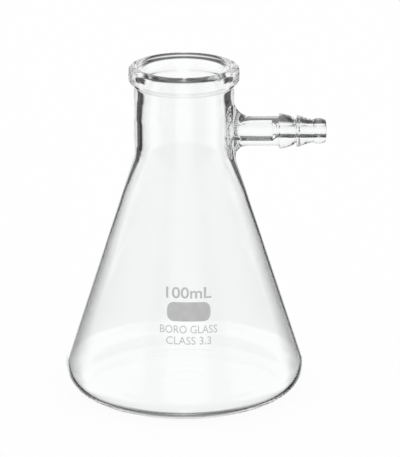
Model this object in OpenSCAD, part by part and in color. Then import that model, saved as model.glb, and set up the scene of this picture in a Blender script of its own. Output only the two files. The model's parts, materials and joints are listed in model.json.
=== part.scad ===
// Buchner flask, 100 mL: a conical flask with a thick neck, a side tube and a
// serrated hose nozzle sealed on at the neck, and a fired enamel print.
// Origin: centre of the base, on the bench. +Z is up, +X runs along the side
// tube and -Y is the printed front. Millimetres.

/* [Flask body] */
// Greatest width of the base
base_d = 70; // [50:1:120]
// Height from the bench to the top of the lip
height = 98; // [80:1:160]
// Half angle of the cone
cone_angle = 18; // [14:0.5:26]
// Outside width of the neck
neck_d = 29.2; // [24:0.1:45]
// Width of the neck's bore, which takes the stopper
bore_d = 23.4; // [16:0.1:40]
// Radius where the base turns up into the cone
heel_r = 7.3; // [4:0.1:14]
// Radius where the cone turns up into the neck
shoulder_r = 8; // [4:0.5:20]
// Glass thickness where the cone meets the shoulder
shoulder_wall = 1.8; // [0.8:0.1:4]
// Glass thickness low on the cone, where it was blown out furthest
cone_wall = 1; // [0.8:0.1:4]
// Glass thickness of the base
base_wall = 1.4; // [1:0.1:6]
// Rise of the push-up in the middle of the base
push_up = 1.6; // [0.4:0.1:4]

/* [Lip] */
// Outside width of the bead round the mouth
lip_d = 32.2; // [26:0.1:50]
// Height of the bead
lip_h = 5.4; // [3:0.1:10]
// Width of the mouth at the top of the bead
mouth_d = 26.4; // [18:0.1:44]

/* [Side tube] */
// Height of the tube's axis above the bench
tube_z = 78; // [60:0.5:140]
// Outside width of the tube
tube_d = 8.6; // [6:0.1:14]
// Width of the tube's bore
tube_bore_d = 4.2; // [2:0.1:9]
// Radius of the sealed joint between the tube and the neck
weld_r = 5; // [2:0.1:8]

/* [Hose nozzle] */
// Distance from the body's axis to the seal between tube and nozzle
nozzle_x = 26.9; // [20:0.1:50]
// Distance from the body's axis to the nozzle's tip
tip_x = 41.1; // [30:0.1:70]
// Width over the first barb
barb_d = 10.2; // [8:0.1:16]
// Width of the nozzle's bore
nozzle_bore_d = 2.8; // [1.5:0.1:7]

/* [Print] */
// Thickness of the fired enamel
enamel = 0.08; // [0.05:0.01:0.3]
// Width of the marking spot
spot_w = 12.6; // [6:0.1:25]
// Height of the marking spot
spot_h = 5.2; // [3:0.1:12]
// Height of the marking spot's middle above the bench
spot_z = 32.1; // [15:0.1:60]
// Turn of the print round the body, from the front towards the side tube
print_turn = 2.5; // [-45:0.5:45]
// Slope of the lines of print
print_tilt = -1.2; // [-5:0.1:5]

/* [Hidden] */
$fn = 96;

glass = [0.86, 0.93, 0.92, 0.45];
seal_glass = [0.80, 0.90, 0.90, 0.6];
enamel_grey = [0.72, 0.72, 0.72];
far = 60;

base_r = base_d / 2;
neck_r = neck_d / 2;
bore_r = bore_d / 2;

// Where the cone leaves the heel, outside and inside.
heel_x = base_r - heel_r;
cone_foot = [heel_x + heel_r * cos(cone_angle), heel_r + heel_r * sin(cone_angle)];
inner_foot = cone_foot - cone_wall * [cos(cone_angle), sin(cone_angle)];
inner_line = cone_foot - shoulder_wall * [cos(cone_angle), sin(cone_angle)];

// A fillet between a cone line through p and the upright at radius r: its
// centre's height, the fillet standing on the outside of both.
function shoulder_z(p, r, fillet) =
    p[1] + (fillet - (r + fillet - p[0]) * cos(cone_angle)) / sin(cone_angle);

// Radius of the outside of the cone at a height.
function cone_r(z) = cone_foot[0] - (z - cone_foot[1]) * tan(cone_angle);

// Points along an arc, from angle a to angle b, in n steps.
function arc(c, r, a, b, n) =
    [for (i = [0:n]) let (t = a + (b - a) * i / n) c + r * [cos(t), sin(t)]];

// The inside heel touches the floor and the inside of the cone.
inner_heel_r = 6.2;
inner_heel = [inner_foot[0] + (-inner_heel_r - (base_wall + inner_heel_r - inner_foot[1])
                  * sin(cone_angle)) / cos(cone_angle),
              base_wall + inner_heel_r];

// The bead: its fullest point sits this far below the top.
bead_drop = 2.1;
lip_top_r = (lip_d / 2 + mouth_d / 2) / 2;
flare_h = 4.2;
foot_in = heel_x - 3.4;
dimple_r = 6;

// The outside from the foot's edge up to the neck.
side_profile = concat(
    [[heel_x, 0]],
    arc([heel_x, heel_r], heel_r, -80, cone_angle, 12),
    arc([neck_r + shoulder_r, shoulder_z(cone_foot, neck_r, shoulder_r)],
        shoulder_r, 180 + cone_angle, 180, 5));

bead = concat(
    [[neck_r, height - lip_h]],
    arc([neck_r + 0.5, height - lip_h + 1.2], 1.1, -50, -8, 2),
    [[lip_d / 2 - 0.15, height - bead_drop - 1.0],
     [lip_d / 2, height - bead_drop],
     [lip_d / 2 - 0.35, height - bead_drop + 1.1],
     [lip_d / 2 - 1.0, height - 0.3],
     [lip_top_r, height],
     [mouth_d / 2 + 0.35, height - 0.25],
     [mouth_d / 2 - 0.1, height - 0.9],
     [bore_r + 0.75, height - 2.2],
     [bore_r + 0.2, height - flare_h + 0.7]]);

inner_profile = concat(
    [[bore_r, height - flare_h]],
    arc([bore_r + shoulder_r, shoulder_z(inner_line, bore_r, shoulder_r)],
        shoulder_r, 180, 180 + cone_angle, 5),
    arc(inner_heel, inner_heel_r, cone_angle, -90, 10),
    [[dimple_r + 1, base_wall + push_up * 0.8], [dimple_r, base_wall + push_up * 0.95],
     [0, base_wall + push_up * 0.95]]);

// The flat ring that the flask stands on, with the push-up and its dimple inside it.
foot_profile = [[0, push_up], [dimple_r, push_up], [dimple_r + 1, push_up * 0.8],
                [foot_in - 2, 0.25], [foot_in, 0]];

// Everything inside the flask's outer surface, up to the bead.
module outer_form() {
    rotate_extrude() polygon(concat([[0, 0]], side_profile, [[neck_r, height - lip_h], [0, height - lip_h]]));
}

// A round form along the side tube's axis, from points [distance along X, radius].
module along_tube(points) {
    translate([0, 0, tube_z]) rotate([0, 90, 0]) rotate_extrude() polygon([for (p = points) [p[1], p[0]]]);
}

module tube_bore(d, from, to) {
    translate([from, 0, tube_z]) rotate([0, 90, 0]) cylinder(d = d, h = to - from);
}

module flask_body() {
    color(glass) difference() {
        rotate_extrude() polygon(concat(foot_profile, side_profile, bead, inner_profile));
        tube_bore(tube_bore_d, 0, far);
    }
}

// The tube's root swells where it is sealed to the neck, and is cut to the neck's surface.
module side_tube() {
    tube_r = tube_d / 2;
    weld_x = neck_r + weld_r;
    color(seal_glass) difference() {
        along_tube(concat(
            [[bore_r, 0], [bore_r, 7.9], [neck_r - 1.6, 7.9], [neck_r, 7.3]],
            arc([weld_x, tube_r + weld_r], weld_r, 232, 270, 5),
            [[nozzle_x, tube_r], [nozzle_x, 0]]));
        outer_form();
        tube_bore(tube_bore_d, 0, nozzle_x - 0.7);
        along_tube([[nozzle_x - 0.7, 0], [nozzle_x - 0.7, tube_bore_d / 2],
                    [nozzle_x, nozzle_bore_d / 2], [nozzle_x, 0]]);
    }
}

// Pressed nozzle: two barbs, a small olive at the tip, and a narrower bore.
module hose_nozzle() {
    tube_r = tube_d / 2;
    barb_r = barb_d / 2;
    pitch = 5;
    first = nozzle_x + 0.5;
    color(glass) difference() {
        along_tube([
            [nozzle_x, 0], [nozzle_x, tube_r], [first, tube_r],
            [first + 0.25, barb_r - 0.2], [first + 0.6, barb_r],
            [first + 1.1, barb_r - 0.15],
            [first + pitch - 0.4, tube_r - 0.95], [first + pitch, tube_r - 0.95],
            [first + pitch + 0.25, barb_r - 0.7], [first + pitch + 0.6, barb_r - 0.5],
            [first + pitch + 1.1, barb_r - 0.65],
            [first + 2 * pitch - 0.6, tube_r - 1.25], [first + 2 * pitch - 0.1, tube_r - 1.2],
            [first + 2 * pitch + 0.9, tube_r - 0.6], [first + 2 * pitch + 1.4, tube_r - 0.6],
            [tip_x - 0.5, tube_r - 0.85], [tip_x - 0.12, tube_r - 1.05],
            [tip_x, tube_r - 1.5], [tip_x, 0]]);
        tube_bore(nozzle_bore_d, nozzle_x - 1, tip_x + 1);
    }
}

// Fired enamel: a flat drawing (X right, Y up from the middle of the spot)
// carried straight back on to the front of the cone.
module print() {
    intersection() {
        rotate_extrude() polygon([
            [cone_r(16), 16], [cone_r(16) + enamel, 16], [cone_r(48) + enamel, 48], [cone_r(48), 48]]);
        rotate([0, 0, print_turn]) translate([0, 0, spot_z]) rotate([90, 0, 0])
            linear_extrude(far) rotate(print_tilt) children();
    }
}

// Plain plotter capitals on a grid 4 wide and 6 high, as lists of strokes.
ring = [[1, 0], [0, 1], [0, 5], [1, 6], [3, 6], [4, 5], [4, 1], [3, 0], [1, 0]];
function strokes(c) =
    c == "0" || c == "O" ? [ring] :
    c == "1" ? [[[0.8, 4.6], [2.2, 6], [2.2, 0]]] :
    c == "3" ? [[[0, 5], [1, 6], [3, 6], [4, 5], [4, 4], [3, 3.1], [1.6, 3.1]],
                [[3, 3.1], [4, 2.1], [4, 1], [3, 0], [1, 0], [0, 1]]] :
    c == "." ? [[[1.8, 0], [2.2, 0]]] :
    c == "m" ? [[[0, 0], [0, 4]], [[0, 3.2], [0.8, 4], [1.6, 4], [2.2, 3.4], [2.2, 0]],
                [[2.2, 3.2], [3, 4], [3.8, 4], [4.4, 3.4], [4.4, 0]]] :
    c == "L" ? [[[0, 6], [0, 0], [3.6, 0]]] :
    c == "B" ? [[[3, 3.1], [4, 4], [4, 5], [3, 6], [0, 6], [0, 0], [3, 0], [4, 1], [4, 2.2], [3, 3.1], [0, 3.1]]] :
    c == "R" ? [[[0, 0], [0, 6], [3, 6], [4, 5], [4, 3.8], [3, 2.9], [0, 2.9]], [[2.2, 2.9], [4, 0]]] :
    c == "G" ? [[[4, 5], [3, 6], [1, 6], [0, 5], [0, 1], [1, 0], [3, 0], [4, 1], [4, 2.8], [2.4, 2.8]]] :
    c == "A" ? [[[0, 0], [2, 6], [4, 0]], [[0.7, 2.1], [3.3, 2.1]]] :
    c == "S" ? [[[4, 5], [3, 6], [1, 6], [0, 5], [0, 4], [1, 3.1], [3, 3.1], [4, 2.2], [4, 1], [3, 0], [1, 0], [0, 1]]] :
    c == "C" ? [[[4, 5], [3, 6], [1, 6], [0, 5], [0, 1], [1, 0], [3, 0], [4, 1]]] : [];

// One stroke's straight run from a to b, square ended.
module run(a, b, w) {
    d = b - a;
    translate(a) rotate(atan2(d[1], d[0])) translate([-w / 3, -w / 2]) square([norm(d) + w / 1.5, w]);
}

// A printed line of characters: its foot at height y from the spot's middle,
// centred, with cap height h and stroke width w.
module lettering(chars, y, h, pitch, w) {
    s = h / 6;
    for (i = [0:len(chars) - 1])
        if (chars[i] != " ")
            print() translate([(i - (len(chars) - 1) / 2) * pitch - 2 * s, y])
                for (line = strokes(chars[i]), j = [0:len(line) - 2])
                    run(line[j] * s, line[j + 1] * s, w);
}

module marking_spot() {
    r = 2;
    color(enamel_grey) print() union() {
        square([spot_w - 2 * r, spot_h], center = true);
        square([spot_w, spot_h - 2 * r], center = true);
        for (x = [-1, 1], y = [-1, 1])
            translate([x * (spot_w / 2 - r), y * (spot_h / 2 - r)]) circle(r);
    }
}

module capacity_mark() {
    color(enamel_grey) lettering("100mL", spot_h / 2 + 1.25, 2.55, 2.75, 0.5);
}

module glass_type_mark() {
    color(enamel_grey) union() {
        lettering("BORO GLASS", -spot_h / 2 - 3.1, 1.8, 1.72, 0.24);
        lettering("CLASS 3.3", -spot_h / 2 - 6.2, 1.8, 1.55, 0.24);
    }
}

flask_body();
side_tube();
hose_nozzle();
marking_spot();
capacity_mark();
glass_type_mark();
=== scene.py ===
import json
import math

import bmesh
import bpy
import numpy as np
from mathutils import Matrix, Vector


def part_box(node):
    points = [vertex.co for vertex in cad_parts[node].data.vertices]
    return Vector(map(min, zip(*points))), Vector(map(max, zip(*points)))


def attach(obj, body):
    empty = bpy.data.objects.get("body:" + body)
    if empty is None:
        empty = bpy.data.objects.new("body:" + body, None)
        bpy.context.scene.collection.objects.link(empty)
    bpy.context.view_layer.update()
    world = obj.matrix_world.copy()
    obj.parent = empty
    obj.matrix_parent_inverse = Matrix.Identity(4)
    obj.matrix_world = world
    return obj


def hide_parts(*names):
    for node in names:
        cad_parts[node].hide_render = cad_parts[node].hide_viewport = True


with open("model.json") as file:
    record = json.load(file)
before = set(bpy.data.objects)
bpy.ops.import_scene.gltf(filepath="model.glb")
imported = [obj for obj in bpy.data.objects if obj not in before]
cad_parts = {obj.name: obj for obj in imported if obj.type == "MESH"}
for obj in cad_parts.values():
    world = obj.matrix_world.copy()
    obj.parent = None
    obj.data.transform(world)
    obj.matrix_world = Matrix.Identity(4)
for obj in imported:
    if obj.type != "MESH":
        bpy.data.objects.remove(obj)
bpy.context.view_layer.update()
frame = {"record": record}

# ---------------------------------------------------------------------------
# Flask body. Borosilicate glass, blown in a mould and finished in the flame:
# foot with a shallow push-up, rounded heel, thin cone, shoulder, thick neck with
# a parallel bore, and a bead turned over at the mouth.
# Sizes are in millimetres and become metres when a mesh is made.
MM = 0.001
body_high = np.array(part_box("flask_body")[1]) / MM
nozzle_low, nozzle_high = (np.array(corner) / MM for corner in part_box("hose_nozzle"))
mouth = next(m for m in frame["record"]["mounts"] if m["name"] == "mouth")

base_r = body_high[0]
height = body_high[2]
bore_r = mouth["dims"]["r_mm"]
neck_wall = 2.9
neck_r = bore_r + neck_wall
lean_degrees = 18
cone_lean = math.radians(lean_degrees)
heel_r, shoulder_r = 7.3, 8.0
push_up, dimple_r, dimple_rise = 1.6, 6.0, 0.12
bead_from, flare_from = height - 6.4, height - 4.1
# Heights and the thickness of the glass there: thin where it was blown out furthest.
WALL_AT = [0, 3, 9, 45, 60, 66, 74, 82, 88, height]
WALL = [1.1, 0.95, 0.9, 0.95, 1.2, 1.7, 2.45, 2.45, neck_wall, neck_wall]
# The bead as (out, up) from the neck at its foot and (out, down) from the neck at the
# top, and the flared mouth as (out, down) from the bore at the top.
BEAD_UNDER = [(0, 0), (0.08, 0.35), (0.4, 0.75), (1.0, 1.3), (1.42, 2.0), (1.5, 2.9), (1.5, 4.4)]
BEAD_TOP = [(1.45, 1.4), (1.25, 0.95), (0.9, 0.62), (0.3, 0.36), (-0.3, 0.22), (-0.85, 0.28),
            (-1.25, 0.6), (-1.5, 1.05)]
FLARE = [(0.8, 1.5), (0.42, 2.2), (0.12, 3.4)]
# Spacing of the mesh's rows, by how much the glass bends.
FINE, EVEN, LONG, DOME = 0.28, 0.42, 1.7, 1.3
close_rows = 9  # how far down the cone from the shoulder the rows stay close

lean = np.array([math.cos(cone_lean), math.sin(cone_lean)])
heel_x = base_r - heel_r
cone_foot = np.array([heel_x, heel_r]) + heel_r * lean


def shoulder_height(foot, radius):
    """Where the shoulder's curve, touching the cone through foot, turns upright."""
    reach = shoulder_r - (radius + shoulder_r - foot[0]) * lean[0]
    return foot[1] + reach / lean[1]


def straight(a, b, step):
    n = max(2, round(math.dist(a, b) / step) + 1)
    return [np.array(a) + (np.array(b) - np.array(a)) * t for t in np.linspace(0, 1, n)]


def round_turn(centre, radius, start, end, step):
    n = max(3, round(abs(math.radians(end - start)) * radius / step) + 1)
    turn = np.radians(np.linspace(start, end, n))
    return [np.array(centre) + radius * np.array([math.cos(t), math.sin(t)]) for t in turn]


def eased(points, step):
    """A smooth line through points, as soft glass runs between them."""
    p = [np.array(q, float) for q in points]
    p = [2 * p[0] - p[1], *p, 2 * p[-1] - p[-2]]
    line = []
    for a, b, c, d in zip(p, p[1:], p[2:], p[3:]):
        for t in np.linspace(0, 1, max(2, round(math.dist(b, c) / step) + 1))[:-1]:
            line.append(0.5 * (2 * b + (c - a) * t + (2 * a - 5 * b + 4 * c - d) * t**2
                               + (3 * b - a - 3 * c + d) * t**3))
    return line + [p[-2]]


def joined(*lines):
    """One line of points, with the doubled ends between its stretches left out."""
    out = []
    for point in (q for line in lines for q in line):
        if not out or math.dist(point, out[-1]) > 1e-6:
            out.append(np.array(point, float))
    return np.array(out)


out_shoulder = shoulder_height(cone_foot, neck_r)
cone_top = np.array([neck_r + shoulder_r, out_shoulder]) - shoulder_r * lean
falling = np.array([lean[1], -lean[0]])  # down the cone
# The dome's rows leave a gap at the dimple's edge, so the edge is soft.
dome_rows = (*np.arange(0, dimple_r - 0.8, DOME),
             *np.arange(dimple_r + 0.9, heel_x, DOME), heel_x)
dome = [(r, push_up * (1 - (r / heel_x) ** 2) + dimple_rise * (r < dimple_r)) for r in dome_rows]
outer_line = joined(
    eased(dome, EVEN * 1.6),
    round_turn((heel_x, heel_r), heel_r, -90, lean_degrees, EVEN),
    straight(cone_foot, cone_top + close_rows * falling, LONG),
    straight(cone_top + close_rows * falling, cone_top, EVEN),
    round_turn((neck_r + shoulder_r, out_shoulder), shoulder_r, 180 + lean_degrees, 180, EVEN),
    straight((neck_r, out_shoulder), (neck_r, bead_from), EVEN))
run = np.gradient(outer_line, axis=0)
run /= np.linalg.norm(run, axis=1, keepdims=True)
run[0] = (1, 0)
wall = np.interp(outer_line[:, 1], WALL_AT, WALL)
inner_line = outer_line - wall[:, None] * np.stack([run[:, 1], -run[:, 0]], -1)
rim = [*((neck_r + out, bead_from + up) for out, up in BEAD_UNDER),
       *((neck_r + out, height - down) for out, down in BEAD_TOP),
       *((bore_r + out, height - down) for out, down in FLARE),
       (bore_r, flare_from - 0.1), (bore_r, flare_from - 0.6)]
meridian = joined(outer_line, eased(rim, FINE), inner_line[::-1])
meridian[:, 1] = np.maximum(meridian[:, 1], 0)
along = np.concatenate([[0], np.cumsum(np.linalg.norm(np.diff(meridian, axis=0), axis=1))])

# Hand finishing leaves the wall a few hundredths out of true: a little oval and a
# little three-sided, fading out at the foot and at the mouth.
oval, three_sided = 0.035, 0.02
SWAY_AT, SWAY = [5, 20, 60, 90, height], [0, 1, 1, 0.5, 0.2]


def glass_at(turn, way):
    """The point of the body's glass at a turn round the axis, that far along the outline."""
    r = np.interp(way, along, meridian[:, 0])
    z = np.interp(way, along, meridian[:, 1])
    r = r + np.interp(z, SWAY_AT, SWAY) * (oval * np.sin(2 * turn + 0.6 + z / 31)
                                           + three_sided * np.sin(3 * turn - 1.1 - z / 17))
    return np.stack([r * np.cos(turn), r * np.sin(turn), z], -1)


def glass_normal(turn, way):
    """Outward normal of the body's glass there, from the points just round it."""
    near = 0.12
    r = np.maximum(np.interp(way, along, meridian[:, 0]), 0.3)
    round_way = glass_at(turn + near / r, way) - glass_at(turn - near / r, way)
    up_way = glass_at(turn, way + near) - glass_at(turn, way - near)
    n = np.cross(round_way, up_way)
    size = np.linalg.norm(n, axis=-1, keepdims=True)
    pole = np.where(way[..., None] < along[-1] / 2, -1.0, 1.0) * np.array([0, 0, 1.0])
    return np.where(size > 1e-9, n / np.maximum(size, 1e-12), pole)


def grid_normals(points):
    """Normals of a grid of points whose columns run all the way round."""
    n = np.cross(np.roll(points, -1, 1) - np.roll(points, 1, 1), np.gradient(points, axis=0))
    return n / np.maximum(np.linalg.norm(n, axis=-1, keepdims=True), 1e-12)


def glass_piece(name, skins, materials):
    """One closed piece from skins, each (points, normals, wraps round, material number)."""
    verts, corners, faces, slots = [], [], [], []
    start = 0
    for points, normals, wrap, slot in skins:
        rows, cols = points.shape[:2]
        row, j = np.meshgrid(np.arange(rows - 1) * cols, np.arange(cols if wrap else cols - 1),
                             indexing="ij")
        k = (j + 1) % cols
        quad = np.stack([row + j, row + k, row + cols + k, row + cols + j], -1).reshape(-1, 4)
        flat_p, flat_n = points.reshape(-1, 3), normals.reshape(-1, 3)
        a, b, c, d = (flat_p[quad[:, q]] for q in range(4))
        facing = np.einsum("ij,ij->i", np.cross(c - a, d - b), flat_n[quad].sum(1))
        quad[facing < 0] = quad[facing < 0][:, ::-1]
        verts.append(flat_p)
        corners.append(flat_n[quad].reshape(-1, 3))
        faces.append(quad + start)
        slots.append(np.full(len(quad), slot))
        start += len(flat_p)
    mesh = bpy.data.meshes.new(name)
    mesh.from_pydata(np.concatenate(verts) * MM, [], np.concatenate(faces).tolist())
    mesh.polygons.foreach_set("material_index", np.concatenate(slots).astype(np.int32))
    held = mesh.attributes.new("held_normal", "FLOAT_VECTOR", "CORNER")
    held.data.foreach_set("vector", np.concatenate(corners).ravel())
    bm = bmesh.new()
    bm.from_mesh(mesh)
    bmesh.ops.remove_doubles(bm, verts=bm.verts, dist=2e-7)
    bm.to_mesh(mesh)
    bm.free()
    for polygon in mesh.polygons:
        polygon.use_smooth = True
    kept = np.empty(len(mesh.loops) * 3, np.float32)
    mesh.attributes["held_normal"].data.foreach_get("vector", kept)
    mesh.normals_split_custom_set(kept.reshape(-1, 3))
    mesh.attributes.remove(mesh.attributes["held_normal"])
    for material in materials:
        mesh.materials.append(material)
    piece = bpy.data.objects.new(name, mesh)
    bpy.context.collection.objects.link(piece)
    return piece


def clear_glass(name, drawn, ripple):
    """Clear borosilicate glass. Its faint ripple is drawn out along one axis, as the glass
    was: drawn is the ripple's scale along each axis, and ripple its height in metres."""
    material = bpy.data.materials.new(name)
    material.use_nodes = True
    nodes, links = material.node_tree.nodes, material.node_tree.links
    shader = nodes["Principled BSDF"]
    shader.inputs["Base Color"].default_value = (0.985, 0.992, 0.99, 1)
    shader.inputs["Roughness"].default_value = 0.0
    shader.inputs["IOR"].default_value = 1.473
    shader.inputs["Transmission Weight"].default_value = 1.0
    where = nodes.new("ShaderNodeTexCoord")
    stretch = nodes.new("ShaderNodeMapping")
    stretch.inputs["Scale"].default_value = drawn
    noise = nodes.new("ShaderNodeTexNoise")
    noise.inputs["Scale"].default_value = 1.0
    noise.inputs["Detail"].default_value = 1.5
    bump = nodes.new("ShaderNodeBump")
    bump.inputs["Strength"].default_value = 1.0
    bump.inputs["Distance"].default_value = ripple
    links.new(where.outputs["Object"], stretch.inputs["Vector"])
    links.new(stretch.outputs["Vector"], noise.inputs["Vector"])
    links.new(noise.outputs["Fac"], bump.inputs["Height"])
    links.new(bump.outputs["Normal"], shader.inputs["Normal"])
    return material


def fused_seam():
    """The hidden face where two pieces of glass run together: light goes straight on."""
    material = bpy.data.materials.new("fused_seam")
    material.use_nodes = True
    nodes, links = material.node_tree.nodes, material.node_tree.links
    nodes.remove(nodes["Principled BSDF"])
    through = nodes.new("ShaderNodeBsdfTransparent")
    links.new(through.outputs["BSDF"], nodes["Material Output"].inputs["Surface"])
    return material


seam = fused_seam()
blown = clear_glass("blown_glass", (70, 70, 26), 0.000006)

# The neck's glass is opened where the side tube is sealed on. The seal is the
# line along which a ball of soft glass, resting in the corner, touches the neck.
tube_z = (nozzle_low[2] + nozzle_high[2]) / 2
tube_r, tube_bore_r = 4.3, 2.1
ball_r, ball_more = 4.1, 0.9  # the ball of soft glass is larger above the tube than below
seal_x = nozzle_low[0]
rim_row = int(np.argmax(meridian[:, 1]))
above_heel = meridian[:, 1] > 12
outside = above_heel & (along < along[rim_row])
inside = above_heel & (along > along[rim_row])


def way_outside(z):
    return np.interp(z, meridian[outside, 1], along[outside])


def way_inside(z):
    return np.interp(z, meridian[inside, 1][::-1], along[inside][::-1])


def weld_ball(theta):
    """The ball in the corner at theta round the tube: its centre, its radius and where it
    touches the neck."""
    ball = ball_r + ball_more * np.sin(theta)
    y = (tube_r + ball) * np.cos(theta)
    z = tube_z + (tube_r + ball) * np.sin(theta)
    # Turn of the outer wall's normal where the ball rests: upright neck, shoulder or cone.
    rest = np.clip((out_shoulder - z) / np.maximum(shoulder_r - ball, 0.1), 0, lean[1])
    beta = np.arcsin(rest)
    on_curve = neck_r + shoulder_r - (shoulder_r - ball) * np.cos(beta)
    below = np.maximum(0, (out_shoulder - (shoulder_r - ball) * lean[1]) - z)
    radial = on_curve + np.where(rest >= lean[1], below * math.tan(cone_lean), 0)
    x = np.sqrt(radial**2 - y**2)
    centre = np.stack([x, y, z], -1)
    flat = centre[..., :2] / radial[..., None]
    toward = np.concatenate([flat * np.cos(beta)[..., None], np.sin(beta)[..., None]], -1)
    return centre, ball, centre - toward * ball[..., None]


def weld_line(theta):
    touch = weld_ball(theta)[2]
    return np.arctan2(touch[..., 1], touch[..., 0]), way_outside(touch[..., 2])


def hole_line(theta, radius, way_of):
    """Where a hole along the tube's axis meets a wall, as turn and way along the outline."""
    y, z = radius * np.cos(theta), tube_z + radius * np.sin(theta)
    way = way_of(z)
    r = np.interp(way, along, meridian[:, 0])
    return np.arcsin(y / r), way


# Columns round the body, and half the columns and rows of the window at the tube.
COLS, HALF_COLS, HALF_ROWS = 224, 27, 26
turns = np.arange(COLS) * 2 * math.pi / COLS


def skin(rows, cols, wrap):
    turn, way = np.meshgrid(cols, rows)
    return glass_at(turn, way), glass_normal(turn, way), wrap, 0


def window(middle_way, rising):
    """Rows of a window round the tube, and its edge as turns and ways, from its lower
    corner on. rising is true on the outside, where rows run up."""
    middle = int(np.argmin(abs(along - middle_way)))
    low, high = middle - HALF_ROWS, middle + HALF_ROWS
    up = list(range(low, high + 1)) if rising else list(range(high, low - 1, -1))
    side = list(range(-HALF_COLS, HALF_COLS + 1))
    edge = ([(c, up[0]) for c in side[:-1]] + [(HALF_COLS, row) for row in up[:-1]]
            + [(c, up[-1]) for c in side[:0:-1]] + [(-HALF_COLS, row) for row in up[:0:-1]])
    return low, high, np.array([(c * turns[1], along[row]) for c, row in edge])


def wall_with_window(first, last, low, high, edge, line):
    """Skins of the wall from row first to row last, with the window filled by a collar
    that runs in to line."""
    blend = np.linspace(0, 1, 14)[:, None] ** 0.9
    turn = edge[:, 0] * (1 - blend) + line[0] * blend
    way = edge[:, 1] * (1 - blend) + line[1] * blend
    rest = np.arange(HALF_COLS, COLS - HALF_COLS + 1) * turns[1]
    return [skin(along[first:low + 1], turns, True), skin(along[high:last + 1], turns, True),
            skin(along[low:high + 1], rest, False),
            (glass_at(turn, way), glass_normal(turn, way), True, 0)]


def toward(normals, reference):
    return normals * np.where((normals * reference).sum(-1, keepdims=True) < 0, -1, 1)


out_low, out_high, out_edge = window(way_outside(tube_z) - 0.4, True)
in_low, in_high, in_edge = window(way_inside(tube_z), False)
edge_points = glass_at(out_edge[:, 0], out_edge[:, 1])
theta = np.arctan2(edge_points[:, 2] - tube_z, edge_points[:, 1])  # round the tube
spoke = np.stack([np.zeros_like(theta), np.cos(theta), np.sin(theta)], -1)
# The hole is drawn wider where it opens into the neck, over the last part of its length.
hole_flare, flare_part = 0.9, 0.65
weld = weld_line(theta)
hole_outside = hole_line(theta, tube_bore_r, way_outside)
hole_inside = hole_line(theta, tube_bore_r + hole_flare, way_inside)

hole_start, hole_end = glass_at(*hole_outside), glass_at(*hole_inside)
hole_rows = []
for t in np.linspace(0, 1, 16):
    flare = hole_flare * (1 - math.sqrt(1 - max(0, (t - (1 - flare_part)) / flare_part) ** 2))
    ring = (tube_bore_r + flare) * spoke
    ring[:, 0] = hole_start[:, 0] * (1 - t) + hole_end[:, 0] * t
    ring[:, 2] += tube_z
    hole_rows.append(ring)
hole_rows[0], hole_rows[-1] = hole_start, hole_end
hole_rows = np.array(hole_rows)

blend = np.linspace(0, 1, 9)[:, None]
patch_turn = weld[0] * (1 - blend) + hole_outside[0] * blend
patch_way = weld[1] * (1 - blend) + hole_outside[1] * blend
patch = glass_at(patch_turn, patch_way)
patch_normals = glass_normal(patch_turn, patch_way)

body = glass_piece("blown_body", [
    *wall_with_window(0, rim_row, out_low, out_high, out_edge, weld),
    *wall_with_window(rim_row, len(along) - 1, in_low, in_high, in_edge, hole_inside),
    (hole_rows, toward(grid_normals(hole_rows), -spoke), True, 0),
    (patch, patch_normals, True, 1)], [blown, seam])
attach(body, "root")
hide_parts("flask_body")

# ---------------------------------------------------------------------------
# Side tube. A short length of drawn borosilicate tube, heated and pushed on
# over the hole in the neck, so its root spreads into the neck's wall.
nozzle_bore_r, narrowing, drawn_sway = 1.4, 1.7, 0.03
centre, ball, touch = weld_ball(theta)
from_touch = (touch - centre) / ball[:, None]
swing = np.arccos(np.clip((from_touch * -spoke).sum(-1), -1, 1))[:, None]
fillet = []
for t in np.linspace(0, 1, 18):
    aim = (np.sin((1 - t) * swing) * from_touch + np.sin(t * swing) * -spoke) / np.sin(swing)
    fillet.append(centre + ball[:, None] * aim + (patch[0] - touch) * (1 - t) ** 2)
fillet = np.array(fillet)


def tube_ring(x, radius):
    ring = spoke * radius + np.array([0, 0, tube_z])
    ring[:, 0] = x
    return ring


tube_outside = [fillet[-1]]
for t in np.linspace(0, 1, 22)[1:]:
    x = fillet[-1][:, 0] * (1 - t) + seal_x * t
    swell = drawn_sway * math.sin(math.pi * t) * np.sin(theta * 2 + 4 * t)
    tube_outside.append(tube_ring(x, (tube_r + swell)[:, None]))
tube_outside = np.array(tube_outside)
seal_face = np.array([tube_ring(seal_x, r) for r in np.linspace(tube_r, nozzle_bore_r, 8)])
tube_inside = [tube_ring(seal_x - narrowing * t, nozzle_bore_r + (tube_bore_r - nozzle_bore_r)
                         * (3 * t**2 - 2 * t**3)) for t in np.linspace(0, 1, 14)]
for t in np.linspace(0, 1, 24)[1:-1]:
    x = (seal_x - narrowing) * (1 - t) + patch[-1][:, 0] * t
    tube_inside.append(tube_ring(x, tube_bore_r))
tube_inside = np.array([*tube_inside, patch[-1]])

drawn = clear_glass("drawn_glass", (60, 160, 160), 0.000008)
tube = glass_piece("side_tube_glass", [
    (fillet, toward(grid_normals(fillet), centre - fillet), True, 0),
    (tube_outside, toward(grid_normals(tube_outside), spoke), True, 0),
    (seal_face, np.broadcast_to([1.0, 0, 0], seal_face.shape), True, 1),
    (tube_inside, toward(grid_normals(tube_inside), -spoke), True, 0),
    (patch, -patch_normals, True, 1)], [drawn, seam])
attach(tube, "root")
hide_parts("side_tube")

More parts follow.
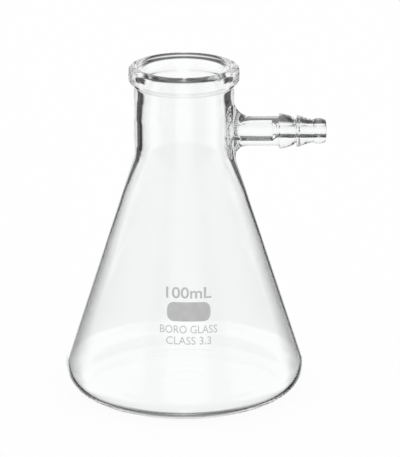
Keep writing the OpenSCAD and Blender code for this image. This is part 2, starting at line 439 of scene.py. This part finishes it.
# ---------------------------------------------------------------------------
# Hose nozzle. Pressed glass in one piece: two barbs, each with a steep back and
# a long taper, a small olive and a fire-polished tip, on a narrower bore.
tip_x = nozzle_high[0]
barb_r = (nozzle_high[2] - nozzle_low[2]) / 2
barb_pitch = 5.0
first_barb = seal_x + 0.5
second_barb = first_barb + barb_pitch
olive_x = second_barb + barb_pitch + 1.1
nozzle_line = joined(
    straight((seal_x, nozzle_bore_r), (seal_x, tube_r), 0.3),
    eased([(seal_x, tube_r), (first_barb - 0.15, tube_r), (first_barb + 0.02, tube_r + 0.15),
           (first_barb + 0.12, barb_r - 0.2), (first_barb + 0.32, barb_r),
           (first_barb + 0.8, barb_r - 0.02), (first_barb + 2.2, barb_r - 0.27),
           (first_barb + 3.3, barb_r - 0.66), (second_barb - 0.75, barb_r - 1.05),
           (second_barb - 0.4, barb_r - 1.45), (second_barb - 0.12, barb_r - 1.6),
           (second_barb + 0.02, barb_r - 1.35), (second_barb + 0.12, barb_r - 0.72),
           (second_barb + 0.32, barb_r - 0.47), (second_barb + 0.75, barb_r - 0.5),
           (second_barb + 1.9, barb_r - 0.9), (second_barb + 3.0, barb_r - 1.3),
           (olive_x - 1.9, barb_r - 1.62), (olive_x - 1.3, barb_r - 1.75),
           (olive_x - 0.75, barb_r - 1.6), (olive_x - 0.2, barb_r - 1.36),
           (olive_x + 0.5, barb_r - 1.34), (olive_x + 1.4, barb_r - 1.5),
           (tip_x - 0.7, barb_r - 1.68), (tip_x - 0.25, barb_r - 1.85), (tip_x, barb_r - 2.3),
           (tip_x, nozzle_bore_r + 0.75), (tip_x - 0.12, nozzle_bore_r + 0.25),
           (tip_x - 0.5, nozzle_bore_r + 0.04), (tip_x - 0.8, nozzle_bore_r)], 0.11),
    straight((tip_x - 0.8, nozzle_bore_r), (seal_x, nozzle_bore_r), 0.5))
NOZZLE_COLS = 120
spin = np.arange(NOZZLE_COLS) * 2 * math.pi / NOZZLE_COLS
pressed_rows = np.stack([
    np.broadcast_to(nozzle_line[:, :1], (len(nozzle_line), NOZZLE_COLS)),
    nozzle_line[:, 1:] * np.cos(spin), tube_z + nozzle_line[:, 1:] * np.sin(spin)], -1)
seal_rows = int(np.argmax(nozzle_line[:, 0] > seal_x + 1e-6))
slope = np.gradient(nozzle_line[seal_rows - 1:], axis=0)
slope /= np.linalg.norm(slope, axis=1, keepdims=True)
pressed_normals = np.stack([
    np.broadcast_to(-slope[:, 1:], (len(slope), NOZZLE_COLS)),
    slope[:, :1] * np.cos(spin), slope[:, :1] * np.sin(spin)], -1)
pressed = clear_glass("pressed_glass", (240, 240, 240), 0.00001)
nozzle = glass_piece("serrated_nozzle", [
    (pressed_rows[:seal_rows], np.broadcast_to([-1.0, 0, 0], pressed_rows[:seal_rows].shape),
     True, 1),
    (pressed_rows[seal_rows - 1:], pressed_normals, True, 0)], [pressed, seam])
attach(nozzle, "root")
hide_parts("hose_nozzle")

# ---------------------------------------------------------------------------
# Print. Pale grey enamel, carried on by a transfer and fired, so it stands a
# little proud of the cone with a matt, faintly mottled face.
spot_w, spot_h, spot_corner, spot_z = 12.6, 5.2, 2.0, 32.1
print_turn, print_tilt, enamel_thick = math.radians(2.5), math.radians(-1.2), 0.08


def maths_in(tree):
    """A shorthand for Math nodes in a node tree: the kind, then its numbers and sockets."""
    def calc(kind, *sources):
        node = tree.nodes.new("ShaderNodeMath")
        node.operation = kind
        for socket, source in zip(node.inputs, sources):
            if isinstance(source, (int, float)):
                socket.default_value = source
            else:
                tree.links.new(source, socket)
        return node.outputs[0]
    return calc


def fired_on_cone():
    """Node tree that lays a flat print on the cone: X runs round it, Y up it, Z out of it."""
    tree = bpy.data.node_groups.new("fired_on_cone", "GeometryNodeTree")
    face = tree.interface
    face.new_socket("Print", in_out="INPUT", socket_type="NodeSocketGeometry")
    for label in ("Turn", "Tilt", "Middle Height", "Cone Radius", "Cone Slope"):
        face.new_socket(label, in_out="INPUT", socket_type="NodeSocketFloat")
    face.new_socket("Enamel", in_out="INPUT", socket_type="NodeSocketMaterial")
    face.new_socket("Print", in_out="OUTPUT", socket_type="NodeSocketGeometry")
    nodes, links = tree.nodes, tree.links
    given, made = nodes.new("NodeGroupInput"), nodes.new("NodeGroupOutput")
    calc = maths_in(tree)
    flat = nodes.new("ShaderNodeVectorRotate")
    flat.rotation_type = "Z_AXIS"
    links.new(nodes.new("GeometryNodeInputPosition").outputs[0], flat.inputs["Vector"])
    links.new(given.outputs["Tilt"], flat.inputs["Angle"])
    parts = nodes.new("ShaderNodeSeparateXYZ")
    links.new(flat.outputs[0], parts.inputs[0])
    z = calc("ADD", parts.outputs["Y"], given.outputs["Middle Height"])
    wall = calc("SUBTRACT", given.outputs["Cone Radius"],
                calc("MULTIPLY", parts.outputs["Y"], given.outputs["Cone Slope"]))
    turn = calc("ADD", given.outputs["Turn"], calc("DIVIDE", parts.outputs["X"], wall))
    r = calc("ADD", wall, parts.outputs["Z"])
    place = nodes.new("ShaderNodeCombineXYZ")
    links.new(calc("MULTIPLY", r, calc("SINE", turn)), place.inputs["X"])
    links.new(calc("MULTIPLY", calc("MULTIPLY", r, calc("COSINE", turn)), -1.0),
              place.inputs["Y"])
    links.new(z, place.inputs["Z"])
    lay = nodes.new("GeometryNodeSetPosition")
    links.new(given.outputs["Print"], lay.inputs["Geometry"])
    links.new(place.outputs[0], lay.inputs["Position"])
    plain = nodes.new("GeometryNodeRealizeInstances")
    links.new(lay.outputs[0], plain.inputs[0])
    paint = nodes.new("GeometryNodeSetMaterial")
    links.new(plain.outputs[0], paint.inputs["Geometry"])
    links.new(given.outputs["Enamel"], paint.inputs["Material"])
    links.new(paint.outputs[0], made.inputs[0])
    return tree


def enamel(name, grey):
    """Fired enamel: matt, with a fine grain and a faint unevenness in how thick it lies."""
    material = bpy.data.materials.new(name)
    material.use_nodes = True
    nodes, links = material.node_tree.nodes, material.node_tree.links
    shader = nodes["Principled BSDF"]
    shader.inputs["Roughness"].default_value = 0.55
    shader.inputs["IOR"].default_value = 1.5
    where = nodes.new("ShaderNodeTexCoord")
    cloud, grain = nodes.new("ShaderNodeTexNoise"), nodes.new("ShaderNodeTexNoise")
    cloud.inputs["Scale"].default_value, grain.inputs["Scale"].default_value = 420, 5200
    grain.inputs["Detail"].default_value = 3
    tone = nodes.new("ShaderNodeValToRGB")
    tone.color_ramp.elements[0].position, tone.color_ramp.elements[1].position = 0.3, 0.7
    tone.color_ramp.elements[0].color = (grey * 0.94, grey * 0.94, grey * 0.95, 1)
    tone.color_ramp.elements[1].color = (grey * 1.05, grey * 1.05, grey * 1.06, 1)
    bump = nodes.new("ShaderNodeBump")
    bump.inputs["Strength"].default_value = 0.35
    bump.inputs["Distance"].default_value = 0.00003
    for noise in (cloud, grain):
        links.new(where.outputs["Object"], noise.inputs["Vector"])
    links.new(cloud.outputs["Fac"], tone.inputs["Fac"])
    links.new(tone.outputs["Color"], shader.inputs["Base Color"])
    links.new(grain.outputs["Fac"], bump.inputs["Height"])
    links.new(bump.outputs["Normal"], shader.inputs["Normal"])
    return material


on_cone = fired_on_cone()
cone_r_at_spot = cone_foot[0] - (spot_z - cone_foot[1]) * math.tan(cone_lean)


def fire(name, flat_mesh, node, material):
    """Lays a flat print, in millimetres, on the cone and makes it a finished piece."""
    bm = bmesh.new()
    bm.from_mesh(flat_mesh)
    bmesh.ops.scale(bm, verts=bm.verts, vec=(MM, MM, MM))
    bmesh.ops.recalc_face_normals(bm, faces=bm.faces)
    bm.to_mesh(flat_mesh)
    bm.free()
    piece = bpy.data.objects.new(name, flat_mesh)
    bpy.context.collection.objects.link(piece)
    laid = piece.modifiers.new("laid", "NODES")
    laid.node_group = on_cone
    given = {"Turn": print_turn, "Tilt": print_tilt, "Middle Height": spot_z * MM,
             "Cone Radius": cone_r_at_spot * MM, "Cone Slope": math.tan(cone_lean),
             "Enamel": material}
    for item in on_cone.interface.items_tree:
        if item.in_out == "INPUT" and item.name in given:
            laid[item.identifier] = given[item.name]
    piece.data.materials.append(material)
    bpy.context.view_layer.update()
    shaped = piece.evaluated_get(bpy.context.evaluated_depsgraph_get())
    piece.data = bpy.data.meshes.new_from_object(shaped)
    piece.modifiers.clear()
    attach(piece, "root")
    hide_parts(node)


def slab(rows):
    """A closed flat slab over a grid of points, its back on the glass."""
    back = np.array(rows, float)
    front = back + np.array([0, 0, enamel_thick])
    n, m = back.shape[:2]
    bm = bmesh.new()
    layers = [[[bm.verts.new(p) for p in row] for row in grid] for grid in (back, front)]
    for grid in layers:
        for i in range(n - 1):
            for j in range(m - 1):
                bm.faces.new((grid[i][j], grid[i][j + 1], grid[i + 1][j + 1], grid[i + 1][j]))
    edge = ([(0, j) for j in range(m - 1)] + [(i, m - 1) for i in range(n - 1)]
            + [(n - 1, j) for j in range(m - 1, 0, -1)] + [(i, 0) for i in range(n - 1, 0, -1)])
    for (i, j), (u, v) in zip(edge, edge[1:] + edge[:1]):
        bm.faces.new((layers[0][i][j], layers[0][u][v], layers[1][u][v], layers[1][i][j]))
    bmesh.ops.recalc_face_normals(bm, faces=bm.faces)
    mesh = bpy.data.meshes.new("slab")
    bm.to_mesh(mesh)
    bm.free()
    return mesh


spot_rows = []
for x in np.linspace(-spot_w / 2, spot_w / 2, 61):
    into = max(0, abs(x) - (spot_w / 2 - spot_corner))
    half = spot_h / 2 - spot_corner + math.sqrt(max(0, spot_corner**2 - into**2))
    spot_rows.append([(x, half * t, 0) for t in np.linspace(-1, 1, 21)])
print_grey = enamel("fired_grey_enamel", 0.5)
fire("marking_spot_enamel", slab(spot_rows), "marking_spot", print_grey)


def lettering(lines):
    """Flat lettering, each line (words, foot, cap height, width, boldness), centred."""
    bm = bmesh.new()
    for words, foot, cap, width, bold in lines:
        font = bpy.data.curves.new(words, "FONT")
        font.body = words
        font.align_x = "CENTER"
        font.size = 1
        font.extrude = 0.5
        font.offset = bold
        font.resolution_u = 4
        lettered = bpy.data.objects.new(words, font)
        bpy.context.collection.objects.link(lettered)
        bpy.context.view_layer.update()
        flat = bpy.data.meshes.new_from_object(
            lettered.evaluated_get(bpy.context.evaluated_depsgraph_get()))
        bpy.data.objects.remove(lettered)
        p = np.array([v.co for v in flat.vertices])
        low, high = p.min(0), p.max(0)
        caps = Matrix.LocRotScale(
            (-(low[0] + high[0]) / 2 * width / (high[0] - low[0]), foot, enamel_thick / 2),
            None, (width / (high[0] - low[0]), cap / (high[1] - max(low[1], 0)), enamel_thick))
        flat.transform(caps)
        bm.from_mesh(flat)
    bmesh.ops.remove_doubles(bm, verts=bm.verts, dist=1e-5)
    bmesh.ops.triangulate(bm, faces=bm.faces)
    mesh = bpy.data.meshes.new("lettering")
    bm.to_mesh(mesh)
    bm.free()
    return mesh


fire("capacity_enamel", lettering([("100mL", spot_h / 2 + 1.1, 3.0, 13.1, 0.012)]),
     "capacity_mark", print_grey)
fire("glass_type_enamel", lettering([("BORO GLASS", -spot_h / 2 - 3.25, 2.1, 16.6, 0.0),
                                     ("CLASS 3.3", -spot_h / 2 - 6.3, 2.1, 13.0, 0.0)]),
     "glass_type_mark", enamel("fired_pale_enamel", 0.56))

# ---------------------------------------------------------------------------
# Camera, a plain pale floor, and a bright even studio. Dark boards stand round the
# bench, to the left and right behind the glass as seen from each side, with the
# bench below and a ceiling above: they draw the glass's edges.
scene = bpy.context.scene
scene.view_settings.view_transform = "Standard"
# Light runs a long way inside a wall of clear glass before it comes out.
wall_bounces = 128
scene.cycles.max_bounces = wall_bounces
scene.cycles.transmission_bounces = wall_bounces
scene.cycles.glossy_bounces = wall_bounces
scene.cycles.transparent_max_bounces = 64

camera_data = bpy.data.cameras.new("camera")
camera_data.sensor_width = 36
camera_data.lens = 261.3
camera = bpy.data.objects.new("camera", camera_data)
camera.location = (0, -0.92323, 0.34405)
pitch, yaw, roll = math.radians(17.757), math.radians(0.283), math.radians(-0.101)
camera.rotation_euler = (Matrix.Rotation(-yaw, 3, "Z")
                         @ Matrix.Rotation(math.pi / 2 - pitch, 3, "X")
                         @ Matrix.Rotation(roll, 3, "Z")).to_euler()
camera_data.clip_end = 50
bpy.context.collection.objects.link(camera)
scene.camera = camera

bm = bmesh.new()
bmesh.ops.create_grid(bm, x_segments=2, y_segments=2, size=12)
floor_mesh = bpy.data.meshes.new("floor")
bm.to_mesh(floor_mesh)
bm.free()
floor = bpy.data.objects.new("floor", floor_mesh)
floor.location.z = -0.0003
floor_paper = bpy.data.materials.new("white_paper")
floor_paper.use_nodes = True
paper = floor_paper.node_tree.nodes["Principled BSDF"]
paper.inputs["Base Color"].default_value = (0.04, 0.04, 0.04, 1)
paper.inputs["Roughness"].default_value = 1.0
paper.inputs["Specular IOR Level"].default_value = 0.0
paper.inputs["Emission Color"].default_value = (1, 1, 1, 1)
paper.inputs["Emission Strength"].default_value = 0.955
floor_mesh.materials.append(floor_paper)
floor.visible_transmission = False
floor.visible_glossy = False
bpy.context.collection.objects.link(floor)

world = bpy.data.worlds.new("studio")
scene.world = world
world.use_nodes = True
nodes, links = world.node_tree.nodes, world.node_tree.links
sky = nodes["Background"]
calc = maths_in(world.node_tree)


def fade(source, start, end):
    """0 before start and 1 after end, eased between them; start may be the larger."""
    node = nodes.new("ShaderNodeMapRange")
    node.interpolation_type = "SMOOTHSTEP"
    links.new(source, node.inputs["Value"])
    node.inputs["From Min"].default_value = min(start, end)
    node.inputs["From Max"].default_value = max(start, end)
    node.inputs["To Min"].default_value = 0 if start < end else 1
    node.inputs["To Max"].default_value = 1 if start < end else 0
    return node.outputs[0]


def both(a, b):
    return calc("MULTIPLY", a, b)


def either(a, b):
    return calc("MAXIMUM", a, b)


# Where a ray that reaches the studio is heading, in degrees: across from +Y, aside from
# the nearer end of the Y axis, and above the horizon. A board is dark where it is 1.
to_degrees = 180 / math.pi
boards_off_axis = 2.0
look = nodes.new("ShaderNodeSeparateXYZ")
links.new(nodes.new("ShaderNodeTexCoord").outputs["Generated"], look.inputs[0])
across = both(calc("ARCTAN2", look.outputs["X"], look.outputs["Y"]), to_degrees)
aside = calc("PINGPONG", calc("ADD", across, boards_off_axis), 90)
above = both(calc("ARCSINE", look.outputs["Z"]), to_degrees)

board_tops = calc("ADD", 0.12, both(fade(above, 22, 12), 0.88))
tall = both(fade(aside, 50, 38), both(fade(above, -24, -20), board_tops))
strip = both(fade(aside, 70, 58), both(fade(above, -28, -22), fade(above, 4, -8)))
flags = both(fade(aside, 18, 26), either(tall, strip))
low_flags = both(both(fade(aside, 8, 16), fade(aside, 60, 45)), fade(above, -20, -25))
bench = both(fade(above, -31, -40),
             either(calc("ADD", 0.35, both(fade(above, -70, -60), 0.5)),
                    both(fade(aside, 8, 20), 0.97)))
ceiling = both(fade(above, 26, 42), calc("ADD", 0.1, both(fade(aside, 20, 40), 0.8)))

# The boards are seen only off or through glass, and the side ones only by light that
# has been turned back in it. Those on the near side are half as dark.
seen_by = nodes.new("ShaderNodeLightPath")
through_glass = calc("SUBTRACT", 1, either(seen_by.outputs["Is Camera Ray"],
                                           seen_by.outputs["Is Diffuse Ray"]))
turned_back = calc("MINIMUM", 1, seen_by.outputs["Glossy Depth"])
near_side = fade(calc("ABSOLUTE", across), 90, 120)
sides = both(either(flags, low_flags),
             both(turned_back, calc("SUBTRACT", 1, both(near_side, 0.5))))
darkness = both(either(sides, either(bench, ceiling)), through_glass)
links.new(calc("SUBTRACT", 1, both(darkness, 0.97)), sky.inputs["Color"])
sky.inputs["Strength"].default_value = 1.0
